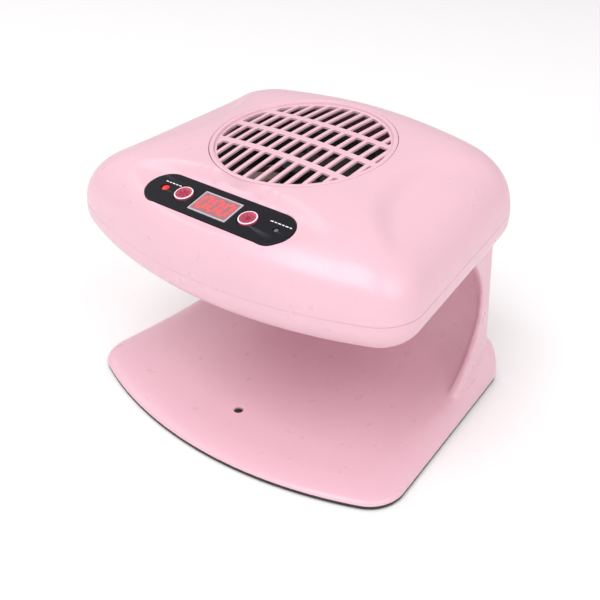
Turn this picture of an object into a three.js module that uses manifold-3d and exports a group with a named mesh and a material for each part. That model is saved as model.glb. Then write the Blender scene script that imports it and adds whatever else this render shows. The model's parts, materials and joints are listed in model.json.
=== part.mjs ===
// Hot and cold air nail dryer, 290 x 234 x 210 mm.
//
// The frame stands on z = 0 with +Z up, its front faces -Y, and its origin is at the middle of its
// underside. A low tray carries a column at the rear, and the column carries the head. The head
// holds the fan, the heater and the controls, and blows down into the open space above the tray.

import * as THREE from 'three';
import { mergeVertices } from 'three/addons/utils/BufferGeometryUtils.js';
import Module from 'manifold-3d';

const wasm = await Module();
wasm.setup();

// ---- Driving dimensions, in millimetres and degrees ----

const WALL = 2.5;
const GAP = 0.3;

const FOOT_LIFT = 1.5;
const PLATE_THICK = 2.4;
const PLATE_TOP = FOOT_LIFT + PLATE_THICK;
const PLATE_INSET = 0.4;
const RIM_Z = PLATE_TOP + GAP;

// Plan outlines: front and rear apex, bow radii, half width where y is 0, side taper, corner radii.
const BASE = {
  front: -117, frontRadius: 309.6, rear: 112, rearRadius: 900,
  halfWidth: 137, taper: 0.102, frontCorner: 28.7, rearCorner: 13,
};
const HEAD = {
  front: -113, frontRadius: 334, rear: 117, rearRadius: 363,
  halfWidth: 138.4, taper: 0.116, frontCorner: 30, rearCorner: 37,
};
const COLUMN = {
  front: 30, frontRadius: 900, rear: 103.5, rearRadius: 900,
  halfWidth: 125, taper: 0.1, frontCorner: 6, rearCorner: 16,
};

// Head: the belt is its widest line, the seam runs just above it, and both tilt up to the rear.
const BELT_Z = 148.7;
const BELT_TILT = 0.055;
const SEAM_RISE = 4.9;
const DOME_RISE = 60.45;
const DOME_TILT = 0.065;
const DOME_POWER = 2.6;
const DOME_FRONT_POWER = 3.8;
const CHIN_DROP = 20;
const CHIN_INSET = 22.8;

// Intake ring, and everything that is centred under it.
const RING_Y = 6.3;
const RING_Z = 203.5;
const RING_TILT = 4.94;
const RING_RADIUS = 66;
const RING_HOLE = RING_RADIUS + GAP;

// Intake grille: rows of slots that run front to rear, in a thin crowned plate inside a rim. The
// slots stand a little to one side of the middle.
const SLOT_PITCH = 9.9;
const SLOT_WIDTH = 6.7;
const SLOT_SHIFT = 2.8;
const SLOT_FIELD = 60.4;
const CROSSBAR = 5.3;
const ROW_PITCH = 26.1;
const GRILLE_THICK = 1.8;
const GRILLE_SINK = 2;
const GRILLE_CROWN = 3.3;
const RIM_DEPTH = 6;

// Control panel on the front slope.
const PANEL_Y = -82.5;
const PANEL_Z = 185.5;
const PANEL_TILT = 13.5;
const PANEL_HALF_LENGTH = 62;
const PANEL_HALF_HEIGHT = 15.3;
const PANEL_TOP = 0.5;
const PANEL_BACK = -1.8;
const DISPLAY_X = -1.6;
const DISPLAY_SIZE = [33.9, 20.7];
const BUTTON_X = 28.4;
const BUTTON_RADIUS = 7;
const BUTTON_PROUD = 1.6;
const STEM_BOTTOM = -4.9;
const STEM_RADIUS = 2;
const LED_LEFT = { x: -47.5, radius: 2.9 };
const LED_RIGHT = { x: 50, radius: 1.8 };

// Board behind the panel, and the switches on it.
const BOARD_THICK = 1.6;
const BOARD_TOP = -10;
const BOARD_SIZE = [118, 22];
const BOARD_SCREW_X = 56;
const SWITCH_SIDE = 6;
const SWITCH_HEIGHT = 3.7;
const PLUNGER_RADIUS = 1.7;
const PLUNGER_LENGTH = 1.6;

// Scooped faces of the head: a round one at each side and a wide one under the panel.
const SCOOP_X = 159;
const SCOOP_RADIUS = 83;
const SCOOP_DEPTH = 5;
const SCOOP_SHOULDER = 16;
const RECESS_Y = -96.3;
const RECESS_HALF_WIDTH = 100;
const RECESS_HALF_DEPTH = 31;

// Tray and column.
const FLARE_FRONT = 30;
const FLARE_REAR = 15;
const CREST_REAR = 41.5;
const CHEEK_INNER = 113.5;
const COLUMN_DRAFT = 0.05;
const COLUMN_MIDDLE_Z = 100;
const CHEEK_CORNER = [60, 27];
const COLUMN_WALL_Y = 87;
const ARCH_Y = 74.5;
const ARCH_Z = 80;
const ARCH_CURVE = 0.0104;

// Fan, heater and outlet, stacked over the open space.
const DUCT_OUTER = 56;
const DUCT_INNER = 53.5;
const DUCT_BOTTOM = 135.5;
const SHROUD_BOTTOM = 163;
const SHROUD_TOP = 188;
const FLANGE_RADIUS = 63;
const FLANGE_THICK = 2;
const MOTOR_TOP = 184;
const MOTOR_RADIUS = 13;
const SPIDER_THICK = 2.5;
const SHAFT_RADIUS = 1.5;
const ROTOR_BOTTOM = 170;
const ROTOR_TOP = 187;
const ROTOR_RADIUS = 51;
const HUB_RADIUS = 17;
const BLADES = 7;
const BLADE_ANGLE = 32;
const BLADE_CHORD = 18;
const HEATER_Z = 147;
const HEATER_SPAN = 103;
const HEATER_HEIGHT = 15;
const MICA_THICK = 1.2;
const COIL_Z = 157;
const COIL_TURNS = 3;
const COIL_INNER = 14;
const COIL_OUTER = 46;
const OUTLET_RADIUS = 52;
const OUTLET_FIELD = 46;
const OUTLET_SLOT = 5;
const OUTLET_PITCH = 8;

// Fasteners: places in plan, and for the plate screws the height of the top of their hole.
const SCREW_RADIUS = 1.5;
const SCREW_HOLE = SCREW_RADIUS + GAP;
const SCREW_HEAD = 3.2;
const HEAD_WELL = SCREW_HEAD + 0.4;
const HEAD_SCREWS = [[-104, -64], [104, -64], [-94, 38], [94, 38]];
const PLATE_SCREWS = [[-96, -40, 9.3], [96, -40, 9.3], [-84, 96, 20], [84, 96, 20]];
const FEET = [[-108, -62], [108, -62], [-100, 82], [100, 82]];
const FOOT_RADIUS = 7;
const FOOT_HEIGHT = 3.6;

// Power board under the rear of the tray, and the block-shaped parts that stand on it.
const POWER_BOARD = { x: 5, y: 84, z: 8, sizeX: 100, sizeY: 36 };
const PILLAR = { radius: 2.5, x: 46, y: 14 };
const POWER_PARTS = [
  { name: 'power_relay', size: [19, 15, 14], x: -20, y: 92, colour: 'black' },
  { name: 'filter_capacitor', size: [18, 8, 14], x: 8, y: 96, colour: 'mica' },
  { name: 'heat_sink', size: [16, 12, 14], x: 34, y: 78, colour: 'steel' },
];

const SENSOR_Y = -71.2;
const SENSOR_RADIUS = 3.5;

// Mains inlet and rocker switch in the rear of the foot.
const INLET_X = -55;
const SWITCH_X = 55;
const REAR_FITTING_Z = 20;
const REAR_FACE_Y = 110;
const FITTING_DEPTH = 19;
const INLET_SIZE = [26.4, 17];
const SWITCH_SIZE = [22, 15];
const FITTING_CLEARANCE = 0.6;
const PIN_X = 4.3;
const PIN_RADIUS = 1.15;
const ROCKER_REST = 10;
const ROCKER_PIVOT_Y = REAR_FACE_Y - 2.5;
const ROCKER_WIDTH = 17.2;
const PIVOT_RADIUS = 1.2;

const HARNESS_X = 20;
const HARNESS_Y = 94;
const HARNESS_RADIUS = 2.4;

const COLOURS = {
  shell: 0xf1c1d1, dark: 0x1e202d, black: 0x1b1b1e, button: 0xe6788f, board: 0x1f6b45,
  steel: 0xb9bcc2, copper: 0xb87333, mica: 0xc9b48a, display: 0xbeb4be, red: 0xc8322d,
  grey: 0x50555f, rubber: 0x2a2a2c, nylon: 0xe9e4d8, wire: 0x8c1d1d,
};

const dryer = new THREE.Group();

// ---- Solids ----

function solidOf(geometry) {
  const bare = geometry.clone();
  bare.deleteAttribute('normal');
  bare.deleteAttribute('uv');
  const merged = mergeVertices(bare, 1e-4);
  return new wasm.Manifold(new wasm.Mesh({
    numProp: 3,
    vertProperties: new Float32Array(merged.attributes.position.array),
    triVerts: new Uint32Array(merged.index.array),
  }));
}

function geometryOf(solid) {
  const mesh = solid.getMesh();
  const geometry = new THREE.BufferGeometry();
  geometry.setAttribute('position', new THREE.BufferAttribute(mesh.vertProperties, 3));
  geometry.setIndex(new THREE.BufferAttribute(mesh.triVerts, 1));
  geometry.computeVertexNormals();
  return geometry;
}

function addPart(name, shape, colour, { roughness = 0.5, metalness = 0, parent = dryer } = {}) {
  const geometry = shape instanceof THREE.BufferGeometry ? shape : geometryOf(shape);
  const material = new THREE.MeshStandardMaterial({ color: COLOURS[colour], roughness, metalness });
  const mesh = new THREE.Mesh(geometry, material);
  mesh.name = name;
  parent.add(mesh);
  return mesh;
}

function addGroup(y, z, tilt = 0) {
  const group = new THREE.Group();
  group.position.set(0, y, z);
  group.rotation.x = tilt;
  dryer.add(group);
  group.updateMatrix();
  return group;
}

// Closed body through rows of points. The rows run counter-clockwise and climb. A ring's last row
// joins its first, and any other body ends in a flat fan at each end.
function loft(rows, ring = false) {
  const count = rows[0].length;
  const points = rows.flat();
  const index = [];
  const bands = ring ? rows.length : rows.length - 1;
  for (let band = 0; band < bands; band++) {
    const next = (band + 1) % rows.length;
    for (let k = 0; k < count; k++) {
      const k1 = (k + 1) % count;
      const a = band * count + k;
      const b = band * count + k1;
      const c = next * count + k1;
      const d = next * count + k;
      index.push(a, b, c, a, c, d);
    }
  }
  if (!ring) {
    for (const [end, up] of [[0, false], [rows.length - 1, true]]) {
      const centre = new THREE.Vector3();
      rows[end].forEach((p) => centre.addScaledVector(p, 1 / count));
      const c = points.push(centre) - 1;
      for (let k = 0; k < count; k++) {
        const a = end * count + k;
        const b = end * count + (k + 1) % count;
        index.push(c, up ? a : b, up ? b : a);
      }
    }
  }
  const numbers = points.flatMap((p) => [p.x, p.y, p.z]);
  const geometry = new THREE.BufferGeometry();
  geometry.setAttribute('position', new THREE.Float32BufferAttribute(numbers, 3));
  geometry.setIndex(index);
  return geometry;
}

function box(sx, sy, sz, x, y, z) {
  return solidOf(new THREE.BoxGeometry(sx, sy, sz).translate(x, y, z));
}

// Body of revolution about z. Its [radius, z] profile runs from the underside out, up and in again.
function turned(profile, sides) {
  const circle = (radius) => arc(0, 0, radius, 0, 2 * Math.PI, sides);
  return solidOf(loft(profile.map(([radius, z]) => row(circle(radius), z))));
}

// Upright cylinder from z = z0 to z = z1.
function post(radius, z0, z1, x = 0, y = 0, sides = 24) {
  const shape = new THREE.CylinderGeometry(radius, radius, z1 - z0, sides);
  return solidOf(shape.rotateX(Math.PI / 2).translate(x, y, (z0 + z1) / 2));
}

function pipe(outer, inner, z0, z1, x = 0, y = 0, sides = 36) {
  return post(outer, z0, z1, x, y, sides).subtract(post(inner, z0 - 1, z1 + 1, x, y, sides));
}

function stadium(halfLength, radius, z0, z1) {
  const shape = new THREE.Shape();
  shape.absarc(halfLength - radius, 0, radius, -Math.PI / 2, Math.PI / 2);
  shape.absarc(radius - halfLength, 0, radius, Math.PI / 2, 1.5 * Math.PI);
  const settings = { depth: z1 - z0, bevelEnabled: false, curveSegments: 8 };
  return solidOf(new THREE.ExtrudeGeometry(shape, settings).translate(0, 0, z0));
}

function screwSolid(x, y, headBottom, headTop, shankTop) {
  const shank = post(SCREW_RADIUS, headTop - 0.4, shankTop, x, y, 8);
  return post(SCREW_HEAD, headBottom, headTop, x, y, 12).add(shank);
}

function shapeFrom(points) {
  return new THREE.Shape(points.map((p) => new THREE.Vector2(...p)));
}

// ---- Outlines and surfaces ----

function arc(cx, cy, radius, from, to, steps) {
  const points = [];
  for (let i = 0; i < steps; i++) {
    const angle = from + (to - from) * i / steps;
    points.push(new THREE.Vector2(cx + radius * Math.cos(angle), cy + radius * Math.sin(angle)));
  }
  return points;
}

// Plan outline, moved inwards by inset: bowed front, round corner, straight tapering side, round
// corner and bowed rear, then the same mirrored. It runs counter-clockwise from the front apex.
function outline(spec, inset = 0, steps = { front: 5, corner: 5, side: 4, rear: 4 }) {
  const sideAngle = Math.atan(spec.taper);
  const normal = new THREE.Vector2(Math.cos(sideAngle), Math.sin(sideAngle));
  const along = new THREE.Vector2(-normal.y, normal.x);
  const side = spec.halfWidth * normal.x - inset;
  const corner = (which) => {
    const front = which === 'front';
    const bow = (front ? spec.frontRadius : spec.rearRadius) - inset;
    const bowY = front ? spec.front + spec.frontRadius : spec.rear - spec.rearRadius;
    const radius = Math.max((front ? spec.frontCorner : spec.rearCorner) - inset, 1.5);
    const start = normal.clone().multiplyScalar(side - radius).sub(new THREE.Vector2(0, bowY));
    const half = start.dot(along);
    const root = Math.sqrt(half * half - start.lengthSq() + (bow - radius) ** 2);
    const centre = start.clone().addScaledVector(along, front ? -half - root : -half + root);
    const angle = Math.atan2(centre.y, centre.x);
    return { bow, bowY, radius, angle, x: centre.x, y: centre.y + bowY };
  };
  const f = corner('front');
  const r = corner('rear');
  const sideStart = new THREE.Vector2(f.x, f.y).addScaledVector(normal, f.radius);
  const sideEnd = new THREE.Vector2(r.x, r.y).addScaledVector(normal, r.radius);
  const right = [
    ...arc(0, f.bowY, f.bow, -Math.PI / 2, f.angle, steps.front),
    ...arc(f.x, f.y, f.radius, f.angle, sideAngle, steps.corner),
    ...Array.from({ length: steps.side }, (_, i) => sideStart.clone().lerp(sideEnd, i / steps.side)),
    ...arc(r.x, r.y, r.radius, sideAngle, r.angle, steps.corner),
    ...arc(0, r.bowY, r.bow, r.angle, Math.PI / 2, steps.rear),
  ];
  const apex = new THREE.Vector2(0, r.bowY + r.bow);
  const left = right.slice(1).reverse().map((p) => new THREE.Vector2(-p.x, p.y));
  return [...right, apex, ...left];
}

function row(points, height) {
  const heightAt = typeof height === 'function' ? height : () => height;
  return points.map((p) => new THREE.Vector3(p.x, p.y, heightAt(p)));
}

// Point on the level ray from the ring's axis to an outline point, a fraction of the way out.
function towards(edge, fraction) {
  return new THREE.Vector2(edge.x * fraction, RING_Y + (edge.y - RING_Y) * fraction);
}

function reachOf(edge) {
  return Math.hypot(edge.x, edge.y - RING_Y);
}

function smooth(t) {
  const s = THREE.MathUtils.clamp(t, 0, 1);
  return s * s * (3 - 2 * s);
}

const slopeOf = (degrees) => Math.tan(THREE.MathUtils.degToRad(degrees));
const beltZ = (y) => BELT_Z + BELT_TILT * (y - RING_Y);
const ringZ = (y) => RING_Z + slopeOf(RING_TILT) * (y - RING_Y);
const panelZ = (y) => PANEL_Z + slopeOf(PANEL_TILT) * (y - PANEL_Y);

// Height of the head's top, a fraction of the way from the ring's axis to an outline point. A
// superellipse dome rises from the belt, meets the ring's edge, and is scooped at the sides and front.
function topZ(edge, fraction) {
  const reach = reachOf(edge);
  const { x, y } = towards(edge, fraction);
  const frontness = Math.max(0, (RING_Y - edge.y) / reach) ** 3;
  const power = THREE.MathUtils.lerp(DOME_POWER, DOME_FRONT_POWER, frontness);
  const dome = (t) => {
    const yt = (edge.y - RING_Y) * t;
    return BELT_Z + BELT_TILT * yt + (DOME_RISE + DOME_TILT * yt) * (1 - t ** power) ** (1 / power);
  };
  const ringFraction = RING_HOLE / reach;
  const outwards = (fraction - ringFraction) / (1 - ringFraction);
  const ringStep = ringZ(towards(edge, ringFraction).y) - dome(ringFraction);
  const full = dome(fraction) + ringStep * (1 - outwards) ** 2;
  const rimFade = smooth((0.95 - fraction) / 0.3);
  const scoopDistance = Math.hypot(Math.abs(x) - SCOOP_X, y - RING_Y);
  const sideBite = smooth((SCOOP_RADIUS - scoopDistance) / SCOOP_SHOULDER);
  const across = Math.abs(x / RECESS_HALF_WIDTH) ** 3;
  const outward = Math.abs((y - RING_Y - RECESS_Y) / RECESS_HALF_DEPTH) ** 3;
  const frontBite = smooth((1 - across - outward) / 0.5);
  const scooped = THREE.MathUtils.lerp(full, Math.min(full, panelZ(y)), frontBite);
  return scooped - SCOOP_DEPTH * sideBite * rimFade;
}

// ---- Head shells ----

const HEAD_STEPS = { front: 6, corner: 5, side: 6, rear: 5 };
const TOP_FRACTIONS = [0.993, 0.965, 0.91, 0.83, 0.74, 0.64];
const headEdge = outline(HEAD, 0, HEAD_STEPS);
const panelFrame = addGroup(PANEL_Y, PANEL_Z, THREE.MathUtils.degToRad(PANEL_TILT));

// Row of the head's top, no nearer to the ring's hole than the given margin.
function headRow(edges, fraction, margin, drop) {
  return edges.map((edge) => {
    const t = Math.max(fraction, (RING_HOLE + margin) / reachOf(edge));
    const p = towards(edge, t);
    return new THREE.Vector3(p.x, p.y, topZ(edge, t) - drop);
  });
}

function circleRow(edges, radius, height) {
  return row(edges.map((edge) => towards(edge, radius / reachOf(edge))), height);
}

// Rows of the upper shell's outer or inner face, from the seam in to the ring.
function topRows(edges, drop) {
  const between = TOP_FRACTIONS.map((fraction, i) => (
    headRow(edges, fraction, 1.5 + 0.5 * (TOP_FRACTIONS.length - i), drop)
  ));
  const seam = row(edges, (p) => beltZ(p.y) + SEAM_RISE);
  return [seam, ...between, circleRow(edges, RING_HOLE, (p) => ringZ(p.y) - drop)];
}

// Rows of the lower shell, spread outwards: the flat underside's edge, the chin's curve, the seam.
function chinRows(spread, seamRise) {
  const rows = [90, 65, 40, 18, 0].map(THREE.MathUtils.degToRad).map((a) => row(
    outline(HEAD, (CHIN_INSET - spread) * (1 - Math.cos(a)) - spread, HEAD_STEPS),
    (p) => beltZ(p.y) - (CHIN_DROP + spread) * Math.sin(a),
  ));
  return [...rows, row(outline(HEAD, -spread, HEAD_STEPS), (p) => beltZ(p.y) + seamRise)];
}

const outerTop = topRows(headEdge, 0);
const innerTop = topRows(outline(HEAD, WALL, HEAD_STEPS), WALL);
const headFilled = solidOf(loft(outerTop));
const pocket = stadium(PANEL_HALF_LENGTH + GAP, PANEL_HALF_HEIGHT + GAP, -14, 14);
let upperShell = solidOf(loft([...outerTop, ...innerTop.reverse()], true))
  .subtract(pocket.transform(panelFrame.matrix.elements));

function lowerShellSolid() {
  const face = (lift) => [
    circleRow(headEdge, OUTLET_RADIUS + GAP, (p) => beltZ(p.y) - CHIN_DROP + lift),
    ...chinRows(-lift, SEAM_RISE - GAP),
  ];
  return solidOf(loft([...face(0), ...face(WALL).reverse()], true));
}

let lowerShell = lowerShellSolid();

// Bosses of both shells, and the screws that go up through them.
const UPPER_BOSS = 5;
const LOWER_BOSS = 5.5;
HEAD_SCREWS.forEach(([x, y], i) => {
  const belt = beltZ(y);
  const stub = post(UPPER_BOSS, belt - 3, belt + 8, x, y, 12);
  const boss = post(UPPER_BOSS, belt - 2.7, 220, x, y, 12).intersect(headFilled.add(stub));
  upperShell = upperShell.add(boss).subtract(post(SCREW_HOLE, belt - 4, belt + 12, x, y, 12));
  lowerShell = lowerShell.add(post(LOWER_BOSS, belt - 19, belt - 3, x, y, 12))
    .subtract(post(HEAD_WELL, belt - 25, belt - 8, x, y, 12))
    .subtract(post(SCREW_HOLE, belt - 9, belt, x, y, 12));
  const screw = screwSolid(x, y, belt - 10.6, belt - 8.3, belt + 9);
  addPart(`head_screw_${i + 1}`, screw, 'steel', { roughness: 0.3, metalness: 1 });
});

// The harness comes up through a window in the lower shell's underside.
lowerShell = lowerShell.subtract(box(14, 7, 20, HARNESS_X, HARNESS_Y, BELT_Z - CHIN_DROP + 4));

addPart('upper_shell', upperShell, 'shell', { roughness: 0.35 });
addPart('lower_shell', lowerShell, 'shell', { roughness: 0.35 });

// ---- Intake grille: four rows of slots in a crowned plate, inside a rim ----

const ringFrame = addGroup(RING_Y, RING_Z, THREE.MathUtils.degToRad(RING_TILT));

function crownZ(radius) {
  return GRILLE_CROWN * (1 - (radius / SLOT_FIELD) ** 2) - GRILLE_SINK;
}

function grillePlate() {
  const top = [SLOT_FIELD, 48, 32, 16].map((radius) => [radius, crownZ(radius)]);
  const under = top.map(([radius, z]) => [radius, z - GRILLE_THICK]).reverse();
  const rim = [
    [SLOT_FIELD + 1, -RIM_DEPTH], [RING_RADIUS, -RIM_DEPTH], [RING_RADIUS, -0.4],
    [RING_RADIUS - 0.4, 0], [SLOT_FIELD + 2.2, 0], [SLOT_FIELD + 1.2, -GRILLE_SINK],
  ];
  return turned([...under, ...rim, ...top], 64);
}

function intakeGrille() {
  const slots = [];
  const length = ROW_PITCH - CROSSBAR;
  for (const [rowIndex, reach] of [[-1.5, 4], [-0.5, 5], [0.5, 5], [1.5, 4]]) {
    const outer = Math.abs(rowIndex) > 1 ? 12 : 0;
    const y = rowIndex * ROW_PITCH + Math.sign(rowIndex) * outer / 2;
    for (let i = -reach - 1; i <= reach; i++) {
      slots.push(box(SLOT_WIDTH, length + outer, 20, SLOT_SHIFT + i * SLOT_PITCH, y, 0));
    }
  }
  const field = wasm.Manifold.union(slots).intersect(post(SLOT_FIELD, -9, 9, 0, 0, 64));
  return grillePlate().subtract(field);
}

addPart('intake_grille', intakeGrille(), 'shell', { roughness: 0.4, parent: ringFrame });

// ---- Control panel, its buttons and the board behind it ----

function controlPanel() {
  let panel = stadium(PANEL_HALF_LENGTH, PANEL_HALF_HEIGHT, PANEL_BACK, PANEL_TOP)
    .subtract(box(...DISPLAY_SIZE, 6, DISPLAY_X, 0, 0));
  for (const side of [-1, 1]) {
    const pillar = pipe(2.6, 1.5, BOARD_TOP + GAP, PANEL_BACK + 0.2, side * BOARD_SCREW_X, 0, 12);
    panel = panel
      .subtract(post(BUTTON_RADIUS + GAP, -5, 5, DISPLAY_X + side * BUTTON_X, 0, 28))
      .add(pillar);
  }
  for (const led of [LED_LEFT, LED_RIGHT]) {
    panel = panel.subtract(post(led.radius + GAP, -5, 5, led.x, 0, 16));
  }
  return panel;
}

function indicator(led) {
  return post(led.radius, BOARD_TOP + GAP, PANEL_TOP, led.x, 0, 16);
}

const [displayX, displayY] = DISPLAY_SIZE;
const windowSolid = box(displayX - 2 * GAP, displayY - 2 * GAP, 1.7, DISPLAY_X, 0, -0.55);
const digitBlock = box(displayX - 2, displayY - 2, 7.6, DISPLAY_X, 0, -5.85);
addPart('control_panel', controlPanel(), 'dark', { roughness: 0.25, parent: panelFrame });
addPart('display_window', windowSolid, 'display', { roughness: 0.15, parent: panelFrame });
addPart('led_display', digitBlock, 'black', { parent: panelFrame });
addPart('indicator_left', indicator(LED_LEFT), 'red', { roughness: 0.2, parent: panelFrame });
addPart('indicator_right', indicator(LED_RIGHT), 'grey', { roughness: 0.2, parent: panelFrame });

// Each key is a cap whose stem presses the plunger of its own switch.
for (const [name, side] of [['cool', -1], ['hot', 1]]) {
  const x = DISPLAY_X + side * BUTTON_X;
  const stem = post(STEM_RADIUS, STEM_BOTTOM, -1, x, 0, 12);
  const cap = post(BUTTON_RADIUS - GAP, -1.2, BUTTON_PROUD, x, 0, 28).add(stem);
  const plungerTop = STEM_BOTTOM - GAP;
  const plunger = post(PLUNGER_RADIUS, plungerTop - PLUNGER_LENGTH, plungerTop, x, 0, 12);
  const body = box(SWITCH_SIDE, SWITCH_SIDE, SWITCH_HEIGHT, x, 0, BOARD_TOP + GAP + SWITCH_HEIGHT / 2)
    .subtract(post(PLUNGER_RADIUS + GAP, -8, -4, x, 0, 12));
  addPart(`${name}_button`, cap, 'button', { roughness: 0.3, parent: panelFrame });
  addPart(`${name}_switch_plunger`, plunger, 'black', { parent: panelFrame });
  addPart(`${name}_switch_body`, body, 'steel', { metalness: 0.8, parent: panelFrame });
}

// Board on the panel's two pillars, held by a screw at each end.
const boardUnder = BOARD_TOP - BOARD_THICK;
let controlBoard = box(...BOARD_SIZE, BOARD_THICK, 0, 0, BOARD_TOP - BOARD_THICK / 2);
[-1, 1].forEach((side, i) => {
  const x = side * BOARD_SCREW_X;
  controlBoard = controlBoard.subtract(post(1.5, -15, -5, x, 0, 12));
  const screw = post(2.4, boardUnder - 1.9, boardUnder - GAP, x, 0, 12)
    .add(post(1.1, boardUnder - 1, -4, x, 0, 8));
  addPart(`board_screw_${i + 1}`, screw, 'steel', { metalness: 1, roughness: 0.3, parent: panelFrame });
});
addPart('control_board', controlBoard, 'board', { parent: panelFrame });

// ---- Fan, heater and outlet ----

const fanFrame = addGroup(RING_Y, 0);

// Ring round the rotor, with a flange on top and a three-armed spider under the motor.
function fanShroud() {
  let shroud = pipe(DUCT_OUTER, DUCT_INNER, SHROUD_BOTTOM, SHROUD_TOP)
    .add(pipe(FLANGE_RADIUS, DUCT_INNER, SHROUD_TOP - FLANGE_THICK, SHROUD_TOP));
  const armLength = DUCT_INNER + 0.5;
  for (let i = 0; i < 3; i++) {
    const arm = new THREE.BoxGeometry(armLength, 5, SPIDER_THICK)
      .translate(armLength / 2, 0, SHROUD_BOTTOM + SPIDER_THICK / 2)
      .rotateZ(Math.PI / 6 + i * 2 * Math.PI / 3);
    shroud = shroud.add(solidOf(arm));
  }
  return shroud.add(post(MOTOR_RADIUS + 2, SHROUD_BOTTOM, SHROUD_BOTTOM + SPIDER_THICK, 0, 0, 32));
}

function fanRotor() {
  let rotor = post(HUB_RADIUS, ROTOR_BOTTOM, ROTOR_TOP, 0, 0, 32)
    .subtract(post(HUB_RADIUS - 2, ROTOR_BOTTOM - 5, ROTOR_TOP - 2, 0, 0, 32));
  const span = ROTOR_RADIUS - HUB_RADIUS;
  for (let i = 0; i < BLADES; i++) {
    const blade = new THREE.BoxGeometry(span, BLADE_CHORD, 1.6)
      .rotateX(THREE.MathUtils.degToRad(BLADE_ANGLE))
      .translate(HUB_RADIUS - 1 + span / 2, 0, (ROTOR_BOTTOM + ROTOR_TOP) / 2)
      .rotateZ(i * 2 * Math.PI / BLADES);
    rotor = rotor.add(solidOf(blade));
  }
  return rotor.subtract(post(SHAFT_RADIUS + GAP, 160, 200, 0, 0, 12));
}

// Flat spiral of resistance strip.
function heaterCoil() {
  const stepsPerTurn = 16;
  const steps = COIL_TURNS * stepsPerTurn;
  const points = [];
  for (let i = 0; i <= steps; i++) {
    const angle = i * 2 * Math.PI / stepsPerTurn;
    const radius = THREE.MathUtils.lerp(COIL_INNER, COIL_OUTER, i / steps);
    points.push(new THREE.Vector3(radius * Math.cos(angle), radius * Math.sin(angle), COIL_Z));
  }
  const section = shapeFrom([[-1.5, -0.4], [1.5, -0.4], [1.5, 0.4], [-1.5, 0.4]]);
  const path = new THREE.CatmullRomCurve3(points);
  const settings = { steps: COIL_TURNS * 20, bevelEnabled: false, extrudePath: path };
  return new THREE.ExtrudeGeometry(section, settings);
}

// Two mica plates that cross under the coil.
function heaterFrame() {
  return box(HEATER_SPAN, MICA_THICK, HEATER_HEIGHT, 0, 0, HEATER_Z)
    .add(box(MICA_THICK, HEATER_SPAN, HEATER_HEIGHT, 0, 0, HEATER_Z));
}

const motor = post(MOTOR_RADIUS, SHROUD_BOTTOM + SPIDER_THICK + GAP, MOTOR_TOP, 0, 0, 32);
const shaft = post(SHAFT_RADIUS, MOTOR_TOP + GAP, ROTOR_TOP + 1, 0, 0, 12);
const duct = pipe(DUCT_OUTER, DUCT_INNER, DUCT_BOTTOM, SHROUD_BOTTOM - GAP);
const cutoutBottom = HEATER_Z + HEATER_HEIGHT / 2 + GAP;
const cutout = post(6, cutoutBottom, cutoutBottom + 4.7, 0, 0, 16);
addPart('fan_shroud', fanShroud(), 'black', { parent: fanFrame });
addPart('fan_motor', motor, 'steel', { metalness: 0.9, roughness: 0.35, parent: fanFrame });
addPart('fan_shaft', shaft, 'steel', { metalness: 1, parent: fanFrame });
addPart('fan_rotor', fanRotor(), 'black', { parent: fanFrame });
addPart('air_duct', duct, 'nylon', { parent: fanFrame });
addPart('heater_frame', heaterFrame(), 'mica', { parent: fanFrame });
addPart('heater_coil', heaterCoil(), 'copper', { metalness: 0.9, parent: fanFrame });
addPart('thermal_cutout', cutout, 'steel', { metalness: 0.8, parent: fanFrame });

const outletFrame = addGroup(RING_Y, BELT_Z - CHIN_DROP, Math.atan(BELT_TILT));

function outletGrille() {
  let grille = post(OUTLET_RADIUS, -0.2, 2.4, 0, 0, 48);
  for (let i = -5; i <= 5; i++) {
    const x = i * OUTLET_PITCH;
    const half = Math.sqrt(OUTLET_FIELD ** 2 - x ** 2);
    for (const side of [-1, 1]) {
      grille = grille.subtract(box(OUTLET_SLOT, half - 2, 12, x, side * (half / 2 + 1), 0));
    }
  }
  return grille;
}

addPart('outlet_grille', outletGrille(), 'shell', { roughness: 0.4, parent: outletFrame });

// ---- Base: foot, column and the open space for the hand ----

// The tray's floor rises slowly from the front, then sweeps up into the column.
const floorZ = (y) => 8.2 + 0.025 * (y + 104) + 290 / (90.5 - y);

// Front edge of the column's cheeks.
const archY = (z) => ARCH_Y - ARCH_CURVE * (z - ARCH_Z) ** 2;

// Top of the foot's rounded shoulder, which climbs to the rear.
function crestZ(y) {
  return THREE.MathUtils.lerp(floorZ(Math.min(y, 40)) + 0.25, CREST_REAR, smooth((y - 28) / 55));
}

// Space above the tray and in front of the column, grown by spread. Each level runs from a wide
// front, in along the cheeks' edges and round the column's inner wall.
function handSpace(spread) {
  const level = (wallY, z) => {
    const wall = wallY + spread;
    const edge = Math.min(archY(z) + spread, wall - 1.2);
    const half = CHEEK_INNER + spread + COLUMN_DRAFT * (COLUMN_MIDDLE_Z - z);
    const [across, deep] = CHEEK_CORNER;
    const reach = Math.min(deep, wall - edge - 1);
    const right = [[170, -160], [170, edge], [half, edge + 0.1]];
    for (let i = 0; i <= 7; i++) {
      const a = i * Math.PI / 14;
      right.push([half - across * (1 - Math.cos(a)), wall - reach * (1 - Math.sin(a))]);
    }
    const left = right.map(([x, y]) => [-x, y]).reverse();
    return row([...right, ...left].map((p) => new THREE.Vector2(...p)), z - spread);
  };
  const sweep = [-100, -60, -20, 12, 36, 52, 63, 71, 77, 81, 84].map((y) => level(y, floorZ(y)));
  const wall = [80, 98, 116, 134, 170].map((z) => level(COLUMN_WALL_Y, z));
  return solidOf(loft([...sweep, ...wall]));
}

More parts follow.
